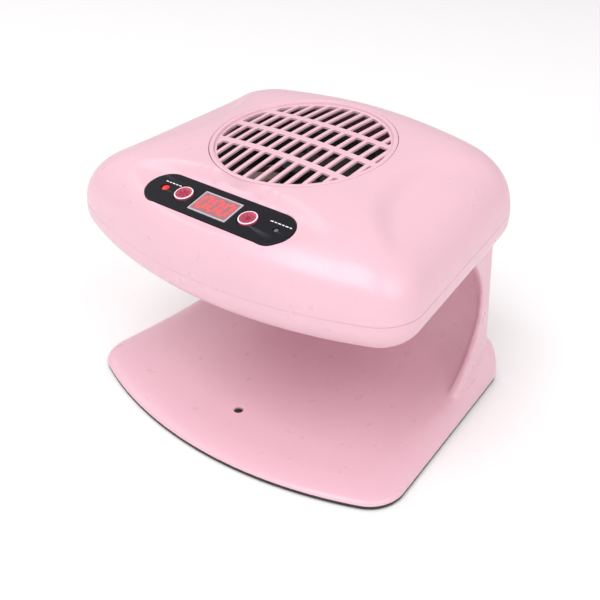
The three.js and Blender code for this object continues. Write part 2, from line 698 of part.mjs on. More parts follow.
// Row of the foot's shoulder, turned in by a share of the flare, which is wide at the front.
function flareRow(inset, share, height) {
  const narrow = outline(BASE, inset + FLARE_REAR * share);
  const wide = outline(BASE, inset + FLARE_FRONT * share);
  return row(narrow.map((p, i) => p.clone().lerp(wide[i], smooth((30 - p.y) / 60))), height);
}

function footSolid(inset, bottom, drop) {
  const shoulderZ = RIM_Z + 0.3;
  const rows = [0, 20, 40, 60, 75, 90].map(THREE.MathUtils.degToRad).map((a) => flareRow(
    inset,
    1 - Math.cos(a),
    (p) => shoulderZ + (crestZ(p.y) - shoulderZ - drop) * Math.sin(a),
  ));
  return solidOf(loft([row(outline(BASE, inset), bottom), ...rows]));
}

function columnSolid(inset, bottom) {
  const steps = { front: 1, corner: 4, side: 1, rear: 2 };
  return solidOf(loft([bottom, 160].map((z) => (
    row(outline(COLUMN, inset - COLUMN_DRAFT * (COLUMN_MIDDLE_Z - z), steps), z)
  ))));
}

const underHead = solidOf(loft(chinRows(GAP, SEAM_RISE + 20)));
const outside = footSolid(0, RIM_Z, 0).add(columnSolid(0, 8)).subtract(handSpace(0));
const inside = footSolid(WALL, 0, WALL).add(columnSolid(WALL, 2)).subtract(handSpace(WALL));
const plateRow = (z) => row(outline(BASE, PLATE_INSET), z);
let baseShell = outside.subtract(inside).subtract(underHead);
let bottomPlate = solidOf(loft([plateRow(FOOT_LIFT), plateRow(PLATE_TOP)]));

// Bosses of the base, each rear one on a rib, and the screws that hold the plate.
PLATE_SCREWS.forEach(([x, y, top], i) => {
  baseShell = baseShell.add(post(4.5, RIM_Z, top + 1.4, x, y, 12));
  if (y > 0) {
    baseShell = baseShell.add(box(2.5, 9, top - RIM_Z, x, y + 6, (top + RIM_Z) / 2));
  }
  baseShell = baseShell.subtract(post(SCREW_HOLE, 2, top, x, y, 12));
  bottomPlate = bottomPlate.subtract(post(SCREW_HOLE, 0, 6, x, y, 12))
    .subtract(post(HEAD_WELL, 0, 2.9, x, y, 12));
  const screw = screwSolid(x, y, 1.6, 2.6, top - 0.5);
  addPart(`plate_screw_${i + 1}`, screw, 'steel', { metalness: 1, roughness: 0.3 });
});

FEET.forEach(([x, y], i) => {
  bottomPlate = bottomPlate.subtract(post(FOOT_RADIUS + GAP, 0, 6, x, y, 20));
  const foot = post(FOOT_RADIUS, 0, FOOT_HEIGHT, x, y, 20);
  addPart(`rubber_foot_${i + 1}`, foot, 'rubber', { roughness: 0.9 });
});

// ---- Power board on four pillars of the bottom plate ----

for (const [sx, sy] of [[-1, -1], [1, -1], [-1, 1], [1, 1]]) {
  const x = POWER_BOARD.x + sx * PILLAR.x;
  const y = POWER_BOARD.y + sy * PILLAR.y;
  bottomPlate = bottomPlate.add(post(PILLAR.radius, PLATE_TOP - 0.5, POWER_BOARD.z - GAP, x, y, 12));
}

const powerTop = POWER_BOARD.z + BOARD_THICK;
const powerMiddle = POWER_BOARD.z + BOARD_THICK / 2;
const powerBoard = box(
  POWER_BOARD.sizeX, POWER_BOARD.sizeY, BOARD_THICK, POWER_BOARD.x, POWER_BOARD.y, powerMiddle,
);
addPart('power_board', powerBoard, 'board');
for (const { name, size, x, y, colour } of POWER_PARTS) {
  const metalness = colour === 'steel' ? 0.9 : 0;
  addPart(name, box(...size, x, y, powerTop + GAP + size[2] / 2), colour, { metalness });
}

// ---- Object sensor that looks up through a hole in the tray ----

baseShell = baseShell.subtract(post(SENSOR_RADIUS, 5, 30, 0, SENSOR_Y, 20));
const lens = post(SENSOR_RADIUS - GAP, 6.2, 9.4, 0, SENSOR_Y, 20);
addPart('sensor_lens', lens, 'black', { roughness: 0.1 });
addPart('sensor_board', box(24, 14, 1.2, 0, SENSOR_Y, 5.3), 'board');

// ---- Mains inlet and rocker switch ----

for (const [x, [sizeX, sizeZ]] of [[INLET_X, INLET_SIZE], [SWITCH_X, SWITCH_SIZE]]) {
  const opening = [sizeX + FITTING_CLEARANCE, 24, sizeZ + FITTING_CLEARANCE];
  baseShell = baseShell.subtract(box(...opening, x, REAR_FACE_Y, REAR_FITTING_Z));
}

// Turns a solid that stands on its own z axis so that it points out of the rear, at the inlet.
function atInlet(solid) {
  const turn = new THREE.Matrix4().makeRotationX(-Math.PI / 2);
  return solid.transform(turn.setPosition(INLET_X, REAR_FACE_Y, REAR_FITTING_Z).elements);
}

function fittingBlock([sizeX, sizeZ], x) {
  return box(sizeX, FITTING_DEPTH, sizeZ, x, REAR_FACE_Y - FITTING_DEPTH / 2, REAR_FITTING_Z);
}

let inletSocket = fittingBlock(INLET_SIZE, INLET_X).subtract(atInlet(stadium(7.3, 4, -12, 2)));
for (const [name, side] of [['left', -1], ['right', 1]]) {
  const hole = post(PIN_RADIUS + GAP, -20, 0, side * PIN_X, 0, 12);
  inletSocket = inletSocket.subtract(atInlet(hole));
  const pin = atInlet(post(PIN_RADIUS, -18, -2, side * PIN_X, 0, 12));
  addPart(`inlet_pin_${name}`, pin, 'steel', { metalness: 1, roughness: 0.25 });
}
addPart('inlet_socket', inletSocket, 'black');

function switchBody() {
  const well = box(ROCKER_WIDTH + 0.6, 12, 11.6, SWITCH_X, REAR_FACE_Y - 4, REAR_FITTING_Z);
  const pivotHole = new THREE.CylinderGeometry(PIVOT_RADIUS + GAP, PIVOT_RADIUS + GAP, 20.6, 12)
    .rotateZ(Math.PI / 2)
    .translate(SWITCH_X, ROCKER_PIVOT_Y, REAR_FITTING_Z);
  return fittingBlock(SWITCH_SIZE, SWITCH_X).subtract(well).subtract(solidOf(pivotHole));
}

// The rocker's outer face is a shallow V, so it lies level with the switch body at either end.
function powerRocker() {
  const side = shapeFrom([[-4, -4.6], [1.6, -5.2], [0.9, 0], [1.6, 5.2], [-4, 4.6]]);
  const body = new THREE.ExtrudeGeometry(side, { depth: ROCKER_WIDTH, bevelEnabled: false })
    .translate(0, 0, -ROCKER_WIDTH / 2);
  const pivot = new THREE.CylinderGeometry(PIVOT_RADIUS, PIVOT_RADIUS, 20, 12).rotateX(Math.PI / 2);
  const outwards = new THREE.Vector3(0, 1, 0);
  const upwards = new THREE.Vector3(0, 0, 1);
  const turn = new THREE.Matrix4().makeBasis(outwards, upwards, new THREE.Vector3(1, 0, 0));
  return solidOf(body).add(solidOf(pivot)).transform(turn.elements);
}

addPart('power_switch_body', switchBody(), 'black');
const rocker = addPart('power_rocker', powerRocker(), 'black', { roughness: 0.4 });
rocker.position.set(SWITCH_X, ROCKER_PIVOT_Y, REAR_FITTING_Z);
rocker.rotation.x = THREE.MathUtils.degToRad(ROCKER_REST);

addPart('base_shell', baseShell, 'shell', { roughness: 0.35 });
addPart('bottom_plate', bottomPlate, 'black', { roughness: 0.6 });

// ---- Wires from the power board, up the hollow column, into the head ----

function wireHarness() {
  const path = new THREE.CatmullRomCurve3([
    [84, 14], [92, 34], [HARNESS_Y, 60], [HARNESS_Y, 100], [HARNESS_Y, 140], [88, 152], [76, 158],
  ].map(([y, z]) => new THREE.Vector3(HARNESS_X, y, z)));
  const section = new THREE.Shape();
  section.absarc(0, 0, HARNESS_RADIUS, 0, 2 * Math.PI);
  const settings = { steps: 20, bevelEnabled: false, curveSegments: 4, extrudePath: path };
  return new THREE.ExtrudeGeometry(section, settings);
}

addPart('wire_harness', wireHarness(), 'wire', { roughness: 0.6 });

export default dryer;
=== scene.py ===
"""Looks of a table-top hot and cold air nail dryer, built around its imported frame.

Points are worked out in millimetres, and object_of() turns them into metres. The object stands on
z = 0 with +Z up, and its front faces -Y.
"""

import json
import math

import bmesh
import bpy
import numpy as np
from mathutils import Matrix, Vector

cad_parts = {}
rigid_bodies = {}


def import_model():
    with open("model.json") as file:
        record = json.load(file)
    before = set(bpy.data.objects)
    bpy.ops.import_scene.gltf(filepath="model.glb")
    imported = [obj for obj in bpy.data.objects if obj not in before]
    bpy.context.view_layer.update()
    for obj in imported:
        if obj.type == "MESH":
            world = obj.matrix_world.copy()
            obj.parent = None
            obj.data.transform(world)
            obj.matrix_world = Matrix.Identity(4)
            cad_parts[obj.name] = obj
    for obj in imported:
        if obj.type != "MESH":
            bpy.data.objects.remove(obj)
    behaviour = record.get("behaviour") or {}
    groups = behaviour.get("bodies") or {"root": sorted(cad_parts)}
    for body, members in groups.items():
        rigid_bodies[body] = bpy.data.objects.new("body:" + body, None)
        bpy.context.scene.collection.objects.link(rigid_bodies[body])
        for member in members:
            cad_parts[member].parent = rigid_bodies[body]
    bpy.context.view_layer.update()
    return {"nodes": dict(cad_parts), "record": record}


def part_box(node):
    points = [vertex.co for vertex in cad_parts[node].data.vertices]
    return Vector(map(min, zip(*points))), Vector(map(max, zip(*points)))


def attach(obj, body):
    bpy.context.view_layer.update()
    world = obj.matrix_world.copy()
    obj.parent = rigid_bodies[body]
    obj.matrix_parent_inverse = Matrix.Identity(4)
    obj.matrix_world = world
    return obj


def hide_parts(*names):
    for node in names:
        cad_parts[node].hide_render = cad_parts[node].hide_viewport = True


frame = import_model()

MM = 0.001
TAU = 2 * math.pi
SLOT_OF = {part["node"]: part["material_slot"] for part in frame["record"]["subparts"]}
BODY_OF = {n: body for body, nodes in frame["record"]["behaviour"]["bodies"].items() for n in nodes}

# ---- Driving dimensions, in millimetres and degrees, as in the frame ----

WALL = 2.5
GAP = 0.3
FOOT_LIFT = 1.5
PLATE_THICK = 2.4
PLATE_INSET = 0.4
RIM_Z = FOOT_LIFT + PLATE_THICK + GAP

BASE = dict(front=-117, front_radius=309.6, rear=112, rear_radius=900,
            half_width=136.75, taper=0.102, front_corner=28.7, rear_corner=13)
HEAD = dict(front=-113, front_radius=334, rear=117, rear_radius=363,
            half_width=138.15, taper=0.116, front_corner=30, rear_corner=37)
COLUMN = dict(front=30, front_radius=900, rear=103.5, rear_radius=900,
              half_width=125, taper=0.1, front_corner=6, rear_corner=16)

BELT_Z, BELT_TILT, SEAM_RISE = 148.7, 0.055, 4.9
DOME_RISE, DOME_TILT, DOME_POWER, DOME_FRONT_POWER = 60.45, 0.065, 2.6, 3.8
CHIN_DROP, CHIN_INSET = 20, 22.8
RING_Y, RING_Z, RING_TILT, RING_RADIUS = 6.3, 203.5, 4.94, 66
RING_HOLE = RING_RADIUS + GAP
PANEL_Y, PANEL_Z, PANEL_TILT = -82.5, 185.5, 13.5
PANEL_HALF_LENGTH, PANEL_HALF_HEIGHT = 62, 15.3
SCOOP_X, SCOOP_RADIUS, SCOOP_DEPTH, SCOOP_SHOULDER = 159, 83, 5, 16
RECESS_Y, RECESS_HALF_WIDTH, RECESS_HALF_DEPTH = -96.3, 100, 31
OUTLET_RADIUS = 52
TOP_LIMIT = 209.2
FLARE_FRONT, FLARE_REAR, CREST_REAR, CHEEK_INNER, CHEEK_CORNER = 30, 15, 41.5, 113.5, (60, 27)
COLUMN_DRAFT, COLUMN_MIDDLE_Z = 0.05, 100
COLUMN_WALL_Y, ARCH_Y, ARCH_Z, ARCH_CURVE = 87, 74.5, 80, 0.0104
REAR_FACE_Y = 110
HARNESS_Y = 94
FAN_BLADES, FAN_HUB_RADIUS, FAN_TIP_RADIUS, FAN_BOTTOM, FAN_TOP = 7, 17, 50.4, 170, 187

# A corner that lies clear of the object, for cutters that run out past it.
BEYOND_X, BEYOND_Y = 170, -160

# ---- Mesh tools ----


def object_of(name, points, faces):
    mesh = bpy.data.meshes.new(name)
    mesh.from_pydata([tuple(p) for p in np.asarray(points, float) * MM], [], faces)
    mesh.update()
    obj = bpy.data.objects.new(name, mesh)
    bpy.context.scene.collection.objects.link(obj)
    return obj


def bake(obj):
    """Applies the object's modifiers."""
    graph = bpy.context.evaluated_depsgraph_get()
    mesh = bpy.data.meshes.new_from_object(obj.evaluated_get(graph))
    obj.modifiers.clear()
    obj.data = mesh
    return obj


def combine(obj, tool, operation):
    modifier = obj.modifiers.new("combine", "BOOLEAN")
    modifier.object = tool
    modifier.operation = operation
    modifier.solver = "MANIFOLD"
    bake(obj)
    bpy.data.objects.remove(tool)
    return obj


def cut(obj, *tools):
    for tool in tools:
        combine(obj, tool, "DIFFERENCE")
    return obj


def join(obj, *tools):
    for tool in tools:
        combine(obj, tool, "UNION")
    return obj


def place(obj, matrix):
    """Moves the mesh itself, so the object stays at the origin."""
    obj.data.transform(matrix)
    return obj


def loft(name, rows, ring=False):
    """Closed body through rows of points that run counter-clockwise and climb. A ring's last row
    joins its first, and any other body ends in a flat fan at each end."""
    count = len(rows[0])
    points = [p for row in rows for p in row]
    faces = []
    for band in range(len(rows) if ring else len(rows) - 1):
        a, b = band * count, (band + 1) % len(rows) * count
        for k in range(count):
            k1 = (k + 1) % count
            faces.append((a + k, a + k1, b + k1, b + k))
    if not ring:
        for start, up in ((0, False), ((len(rows) - 1) * count, True)):
            points.append(np.mean(points[start:start + count], axis=0))
            for k in range(count):
                a, b = start + k, start + (k + 1) % count
                faces.append((len(points) - 1, a, b) if up else (len(points) - 1, b, a))
    return object_of(name, points, faces)


def lathe(name, profile, steps=64):
    """Body of revolution about z. The profile starts and ends on the axis and climbs outside."""
    angles = np.arange(steps) * TAU / steps
    circle = np.stack([np.cos(angles), np.sin(angles)], -1)
    rows = [np.column_stack([circle * r, np.full(steps, z)]) for r, z in profile if r > 0]
    return loft(name, rows)


def rounded_profile(radius, z0, z1, edge, steps=4):
    """Profile of a cylinder whose two rims are rounded."""
    turn = [i * math.pi / 2 / steps for i in range(steps + 1)]
    low = [(radius - edge + edge * math.sin(a), z0 + edge - edge * math.cos(a)) for a in turn]
    high = [(radius - edge + edge * math.cos(a), z1 - edge + edge * math.sin(a)) for a in turn]
    return [(radius - edge - 0.15, z0), *low, *high, (radius - edge - 0.15, z1)]


def offset(points, distance):
    """Moves a counter-clockwise outline outwards, each corner along its mitre."""
    before = points - np.roll(points, 1, 0)
    after = np.roll(points, -1, 0) - points
    normals = [np.stack([v[:, 1], -v[:, 0]], -1) / np.linalg.norm(v, axis=1)[:, None]
               for v in (before, after)]
    mitre = normals[0] + normals[1]
    mitre /= np.maximum((mitre * normals[0]).sum(1), 0.3)[:, None]
    return points + mitre * distance


def prism(name, points, profile, height=None):
    """Closed body over an outline, through (outward offset, z) steps. height(x, y) is added to z."""
    rows = []
    for distance, z in profile:
        plan = offset(points, distance)
        lift = height(plan[:, 0], plan[:, 1]) if height else 0
        rows.append(np.column_stack([plan, np.full(len(plan), float(z)) + lift]))
    return loft(name, rows)


def edge_steps(z0, z1, edge, steps=4):
    """(offset, z) steps of a body whose lower and upper rims are rounded."""
    turn = [i * math.pi / 2 / steps for i in range(steps + 1)]
    low = [(edge * (math.sin(a) - 1), z0 + edge * (1 - math.cos(a))) for a in turn]
    high = [(edge * (math.cos(a) - 1), z1 - edge * (1 - math.sin(a))) for a in turn]
    return [(-edge - 0.15, z0), *low, *high, (-edge - 0.15, z1)]


def flare_steps(z0, top, edge, steps=4):
    """(offset, z) steps of a cutter that leaves a rounded rim at z = top."""
    turn = [i * math.pi / 2 / steps for i in range(steps + 1)]
    rim = [(edge * (1 - math.cos(a)), top - edge * (1 - math.sin(a))) for a in turn]
    return [(0, z0), *rim, (edge + 1, top + 1)]


def arc(cx, cy, radius, start, end, steps):
    angles = start + (end - start) * np.arange(steps) / steps
    return np.stack([cx + radius * np.cos(angles), cy + radius * np.sin(angles)], -1)


def circle(radius, x=0.0, y=0.0, steps=48):
    return arc(x, y, radius, 0, TAU, steps)


def rectangle(size_x, size_y, radius, x=0.0, y=0.0, steps=5):
    """Rectangle with round corners."""
    corners = [(1, -1, -90), (1, 1, 0), (-1, 1, 90), (-1, -1, 180)]
    return np.vstack([
        arc(x + sx * (size_x / 2 - radius), y + sy * (size_y / 2 - radius), radius,
            math.radians(start), math.radians(start + 90), steps)
        for sx, sy, start in corners
    ])


def finished(obj, angle=30):
    """Smooth faces, sharp creases, and normals that follow the large faces."""
    obj.data.polygons.foreach_set("use_smooth", [True] * len(obj.data.polygons))
    obj.data.set_sharp_from_angle(angle=math.radians(angle))
    modifier = obj.modifiers.new("normals", "WEIGHTED_NORMAL")
    modifier.keep_sharp = True
    return obj


def smooth(t):
    s = np.clip(t, 0, 1)
    return s * s * (3 - 2 * s)


# ---- Outlines and surfaces ----

FINE = dict(front=26, corner=14, side=22, rear=22)


def outline(spec, inset=0.0, steps=FINE):
    """Plan outline moved inwards by inset: bowed front, round corner, straight tapering side, round
    corner and bowed rear, then the same mirrored, counter-clockwise from the front apex."""
    side_angle = math.atan(spec["taper"])
    normal = np.array([math.cos(side_angle), math.sin(side_angle)])
    along = np.array([-normal[1], normal[0]])
    side = spec["half_width"] * normal[0] - inset

    def corner(end, sign):
        bow = spec[end + "_radius"] - inset
        bow_y = spec[end] - sign * spec[end + "_radius"]
        radius = max(spec[end + "_corner"] - inset, 1.5)
        start = normal * (side - radius) - np.array([0, bow_y])
        half = start @ along
        root = math.sqrt(half * half - start @ start + (bow - radius) ** 2)
        centre = start + along * (-half + sign * root)
        return bow, bow_y, radius, math.atan2(centre[1], centre[0]), centre + np.array([0, bow_y])

    f_bow, f_y, f_radius, f_angle, f_centre = corner("front", -1)
    r_bow, r_y, r_radius, r_angle, r_centre = corner("rear", 1)
    share = (np.arange(steps["side"]) / steps["side"])[:, None]
    side_line = (f_centre + normal * f_radius) * (1 - share) + (r_centre + normal * r_radius) * share
    right = np.vstack([
        arc(0, f_y, f_bow, -math.pi / 2, f_angle, steps["front"]),
        arc(*f_centre, f_radius, f_angle, side_angle, steps["corner"]),
        side_line,
        arc(*r_centre, r_radius, side_angle, r_angle, steps["corner"]),
        arc(0, r_y, r_bow, r_angle, math.pi / 2, steps["rear"]),
    ])
    return np.vstack([right, [[0, r_y + r_bow]], right[:0:-1] * [-1, 1]])


def row(points, z):
    return np.column_stack([points, z(points[:, 1]) if callable(z) else np.full(len(points), float(z))])


def belt_z(y):
    return BELT_Z + BELT_TILT * (y - RING_Y)


def ring_z(y):
    return RING_Z + math.tan(math.radians(RING_TILT)) * (y - RING_Y)


def panel_z(y):
    return PANEL_Z + math.tan(math.radians(PANEL_TILT)) * (y - PANEL_Y)


def towards(edges, fraction):
    """Points on the level rays from the ring's axis to an outline, a fraction of the way out."""
    return np.stack([edges[:, 0] * fraction, RING_Y + (edges[:, 1] - RING_Y) * fraction], -1)


def dome_power(edges):
    frontness = np.maximum(0, (RING_Y - edges[:, 1]) / np.hypot(edges[:, 0], edges[:, 1] - RING_Y)) ** 3
    return DOME_POWER + (DOME_FRONT_POWER - DOME_POWER) * frontness


def top_z(edges, fraction):
    """Height of the head's top: a superellipse dome that rises from the belt, meets the ring's edge
    and is scooped at the sides and the front."""
    reach = np.hypot(edges[:, 0], edges[:, 1] - RING_Y)
    power = dome_power(edges)
    x, y = towards(edges, fraction).T

    def dome(t):
        yt = (edges[:, 1] - RING_Y) * t
        return BELT_Z + BELT_TILT * yt + (DOME_RISE + DOME_TILT * yt) * (1 - t ** power) ** (1 / power)

    ring_fraction = RING_HOLE / reach
    outwards = (fraction - ring_fraction) / (1 - ring_fraction)
    ring_step = ring_z(towards(edges, ring_fraction)[:, 1]) - dome(ring_fraction)
    full = dome(fraction) + ring_step * (1 - outwards) ** 2
    rim_fade = smooth((0.95 - fraction) / 0.3)
    side_bite = smooth((SCOOP_RADIUS - np.hypot(np.abs(x) - SCOOP_X, y - RING_Y)) / SCOOP_SHOULDER)
    across = np.abs(x / RECESS_HALF_WIDTH) ** 3
    outward = np.abs((y - RING_Y - RECESS_Y) / RECESS_HALF_DEPTH) ** 3
    front_bite = smooth((1 - across - outward) / 0.5)
    scooped = full + (np.minimum(full, panel_z(y)) - full) * front_bite
    return scooped - SCOOP_DEPTH * side_bite * rim_fade


def floor_z(y):
    return 8.2 + 0.025 * (y + 104) + 290 / (90.5 - y)


def arch_y(z):
    return ARCH_Y - ARCH_CURVE * (z - ARCH_Z) ** 2


def crest_z(y):
    low = floor_z(np.minimum(y, 40)) + 0.25
    return low + (CREST_REAR - low) * smooth((y - 28) / 55)


def chin_rows(spread, seam_rise, steps=10):
    """Rows of the lower shell, from the flat underside's edge, round the chin and up to the seam."""
    rows = []
    for i in range(steps + 1):
        a = math.pi / 2 * (1 - i / steps)
        plan = outline(HEAD, (CHIN_INSET - spread) * (1 - math.cos(a)) - spread)
        rows.append(row(plan, lambda y: belt_z(y) - (CHIN_DROP + spread) * math.sin(a)))
    rows.append(row(outline(HEAD, -spread), lambda y: belt_z(y) + seam_rise))
    return rows


# ---- Materials ----


def linear(colour):
    """Linear colour from 0-255 screen values."""
    return tuple((c / 255 / 12.92 if c <= 10 else ((c / 255 + 0.055) / 1.055) ** 2.4) for c in colour) + (1,)


def new_material(name, colour, roughness, metallic=0.0, variation=0.03, mottle=25, grain=1600,
                 bump=0.04, wear=0.25, wear_colour=(255, 255, 255), coat=0.0):
    """Moulded or machined surface: soft colour variation, uneven gloss, fine grain and worn edges."""
    material = bpy.data.materials.new(name)
    material.use_nodes = True
    nodes, links = material.node_tree.nodes, material.node_tree.links
    shader = nodes["Principled BSDF"]
    shader.inputs["Metallic"].default_value = metallic
    shader.inputs["Coat Weight"].default_value = coat
    shader.inputs["Coat Roughness"].default_value = 0.06
    place_at = nodes.new("ShaderNodeTexCoord")

    def noise(scale, detail):
        node = nodes.new("ShaderNodeTexNoise")
        node.inputs["Scale"].default_value = scale
        node.inputs["Detail"].default_value = detail
        links.new(place_at.outputs["Object"], node.inputs["Vector"])
        return node.outputs["Fac"]

    def mapped(value, low, high, from_low=0.3, from_high=0.7):
        node = nodes.new("ShaderNodeMapRange")
        node.inputs["From Min"].default_value = from_low
        node.inputs["From Max"].default_value = from_high
        node.inputs["To Min"].default_value = low
        node.inputs["To Max"].default_value = high
        links.new(value, node.inputs["Value"])
        return node.outputs["Result"]

    def mixed(factor, a, b):
        node = nodes.new("ShaderNodeMix")
        node.data_type = "RGBA"
        links.new(factor, node.inputs["Factor"])
        for socket, value in ((node.inputs["A"], a), (node.inputs["B"], b)):
            if isinstance(value, tuple):
                socket.default_value = value
            else:
                links.new(value, socket)
        return node.outputs["Result"]

    base = linear(colour)
    darker = tuple(c * (1 - variation) for c in base[:3]) + (1,)
    lighter = tuple(min(1, c * (1 + variation)) for c in base[:3]) + (1,)
    body = mixed(mapped(noise(mottle, 4), 0, 1), darker, lighter)
    edges = nodes.new("ShaderNodeNewGeometry").outputs["Pointiness"]
    rubbed = mapped(edges, 0, wear, 0.53, 0.6)
    links.new(mixed(rubbed, body, linear(wear_colour)), shader.inputs["Base Color"])
    links.new(mapped(noise(mottle * 6, 6), roughness * 0.82, roughness * 1.2), shader.inputs["Roughness"])
    fine = nodes.new("ShaderNodeBump")
    fine.inputs["Strength"].default_value = bump
    fine.inputs["Distance"].default_value = 0.0004
    links.new(noise(grain, 3), fine.inputs["Height"])
    links.new(fine.outputs["Normal"], shader.inputs["Normal"])
    return material


def glowing(name, colour, strength, roughness=0.2):
    material = new_material(name, colour, roughness, wear=0.0)
    shader = material.node_tree.nodes["Principled BSDF"]
    shader.inputs["Emission Color"].default_value = linear(colour)
    shader.inputs["Emission Strength"].default_value = strength
    return material


PINK = (225, 182, 195)
MATERIALS = {
    "shell_pink": new_material("shell_pink", PINK, 0.32, variation=0.015, mottle=14, grain=420, bump=0.012,
                               wear=0.2, wear_colour=(252, 222, 232), coat=0.1),
    "panel_dark": new_material("panel_dark", (18, 16, 24), 0.34, variation=0.1, bump=0.015, wear=0.3,
                               wear_colour=(90, 92, 105)),
    "display_lens": new_material("display_lens", (186, 176, 186), 0.16, variation=0.03, bump=0.01,
                                 wear=0.2, coat=0.4),
    "button_pink": new_material("button_pink", (176, 60, 88), 0.34, bump=0.02, wear=0.3,
                                wear_colour=(250, 190, 205)),
    "led_red": glowing("led_red", (214, 38, 34), 0.5),
    "led_grey": new_material("led_grey", (92, 97, 112), 0.2, variation=0.08, bump=0.02, wear=0.2),
    "black_plastic": new_material("black_plastic", (27, 24, 28), 0.5, variation=0.12, bump=0.12,
                                  wear=0.2, wear_colour=(80, 78, 84)),
    "steel": new_material("steel", (190, 193, 200), 0.3, 1.0, variation=0.06, grain=2500, bump=0.08,
                          wear=0.3, wear_colour=(235, 235, 240)),
    "circuit_board": new_material("circuit_board", (31, 107, 69), 0.38, variation=0.16, mottle=160,
                                  bump=0.1, wear=0.3, wear_colour=(190, 180, 110)),
    "nylon_white": new_material("nylon_white", (226, 221, 208), 0.42, variation=0.04, bump=0.08, wear=0.2),
    "mica": new_material("mica", (196, 176, 136), 0.4, variation=0.16, mottle=300, bump=0.15, wear=0.2),
    "copper": new_material("copper", (196, 126, 78), 0.32, 1.0, variation=0.12, mottle=120, bump=0.08,
                           wear=0.2, wear_colour=(240, 190, 150)),
    "rubber_black": new_material("rubber_black", (38, 38, 40), 0.8, variation=0.12, grain=900, bump=0.3,
                                 wear=0.2, wear_colour=(80, 80, 82)),
    "wire_red": new_material("wire_red", (140, 30, 30), 0.45, variation=0.1, bump=0.1, wear=0.2),
}
panel_shader = MATERIALS["panel_dark"].node_tree.nodes["Principled BSDF"]
panel_shader.inputs["Specular IOR Level"].default_value = 0.2
PRINT_WHITE = new_material("print_white", (235, 232, 236), 0.5, variation=0.04, bump=0.05, wear=0.0)
PRINT_RED = new_material("print_red", (140, 25, 50), 0.5, variation=0.06, bump=0.05, wear=0.0)
KEY_RIM = new_material("key_rim", (250, 225, 233), 0.3, variation=0.02, bump=0.02, wear=0.1)
DIGIT_GLOW = glowing("digit_glow", (228, 78, 74), 0.45, 0.35)
# Painted glow for the backing under the display lens: it stands in for the lit digits' light spreading behind
# the window, and is no lamp of its own.
PAINTED_DIGIT_SPILL = glowing("screen_glow", (150, 98, 108), 0.25, 0.3)


def add(obj, body, slot, material=None, angle=30):
    """Finishes a piece, gives it its material and puts it on its body."""
    obj.data.materials.clear()
    obj.data.materials.append(material or MATERIALS[slot])
    finished(obj, angle)
    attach(obj, body)
    return obj


def stand_for(node, obj, angle=30):
    """A detailed piece in place of a node, on its body and with its slot."""
    obj.name = node + "_fine"
    add(obj, BODY_OF[node], SLOT_OF[node], angle=angle)
    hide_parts(node)
    return obj


# ---- Base, plate and feet ----


def flare_plan(inset, share):
    """Plan of the foot's shoulder, turned in by a share of the flare, which is wide at the front."""
    narrow = outline(BASE, inset + FLARE_REAR * share)
    wide = outline(BASE, inset + FLARE_FRONT * share)
    return narrow + (wide - narrow) * smooth((30 - narrow[:, 1:]) / 60)


def foot_solid(inset, bottom, drop, steps=16):
    shoulder = RIM_Z + 0.3
    rows = [row(outline(BASE, inset), bottom)]
    for i in range(steps + 1):
        a = math.pi / 2 * i / steps
        plan = flare_plan(inset, 1 - math.cos(a))
        rows.append(row(plan, lambda y: shoulder + (crest_z(y) - shoulder - drop) * math.sin(a)))
    return loft("foot", rows)


def column_solid(inset, bottom, top=160):
    steps = dict(front=4, corner=16, side=4, rear=10)
    return loft("column", [row(outline(COLUMN, inset - COLUMN_DRAFT * (COLUMN_MIDDLE_Z - z), steps), z)
                           for z in (bottom, top)])


def hand_space(spread):
    """Space above the tray and in front of the column, grown by spread."""
    def level(wall_y, z):
        wall = wall_y + spread
        edge = min(arch_y(z) + spread, wall - 1.2)
        half = CHEEK_INNER + spread + COLUMN_DRAFT * (COLUMN_MIDDLE_Z - z)
        reach = min(CHEEK_CORNER[1], wall - edge - 1)
        turn = np.linspace(0, math.pi / 2, 25)
        across = half - CHEEK_CORNER[0] * (1 - np.cos(turn))
        deep = wall - reach * (1 - np.sin(turn))
        mouth = [[BEYOND_X, BEYOND_Y], [BEYOND_X, edge], [half, edge + 0.1]]
        right = np.vstack([mouth, np.stack([across, deep], -1)])
        return row(np.vstack([right, right[::-1] * [-1, 1]]), z - spread)

    sweep = np.concatenate([np.linspace(-105, 40, 20), 84 - 44 * (1 - np.linspace(0.05, 1, 24)) ** 1.6])
    heights = [*np.linspace(66, 134, 24), 170]
    rows = [level(y, float(floor_z(y))) for y in sweep]
    rows += [level(84 + (COLUMN_WALL_Y - 84) * min(1, (z - 60) / 20), z) for z in heights]
    return loft("space", rows)


def base_shell():
    """The outside is one solid whose creases are melted round, and it is hollowed afterwards."""
    shell = join(foot_solid(0, RIM_Z - 8, 0), column_solid(0, 8))
    cut(shell, hand_space(0))
    remesh = shell.modifiers.new("melt", "REMESH")
    remesh.mode = "VOXEL"
    remesh.voxel_size = 1.4 * MM
    relax = shell.modifiers.new("relax", "SMOOTH")
    relax.factor = 0.5
    relax.iterations = 9
    bake(shell)
    inside = join(foot_solid(WALL, -4, WALL), column_solid(WALL, 2))
    cut(inside, hand_space(WALL))
    below = prism("below", rectangle(400, 400, 5), [(0, -20), (0, RIM_Z)])
    return cut(shell, inside, below, loft("under_head", chin_rows(GAP, 30)))


def node_hole(node, margin, z0, z1, steps=48):
    """Upright hole round a node that stands straight up."""
    low, high = (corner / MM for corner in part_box(node))
    centre = (low + high) / 2
    radius = (high.x - low.x) / 2 + margin
    return prism("hole", circle(radius, centre.x, centre.y, steps), [(0, z0), (0, z1)])


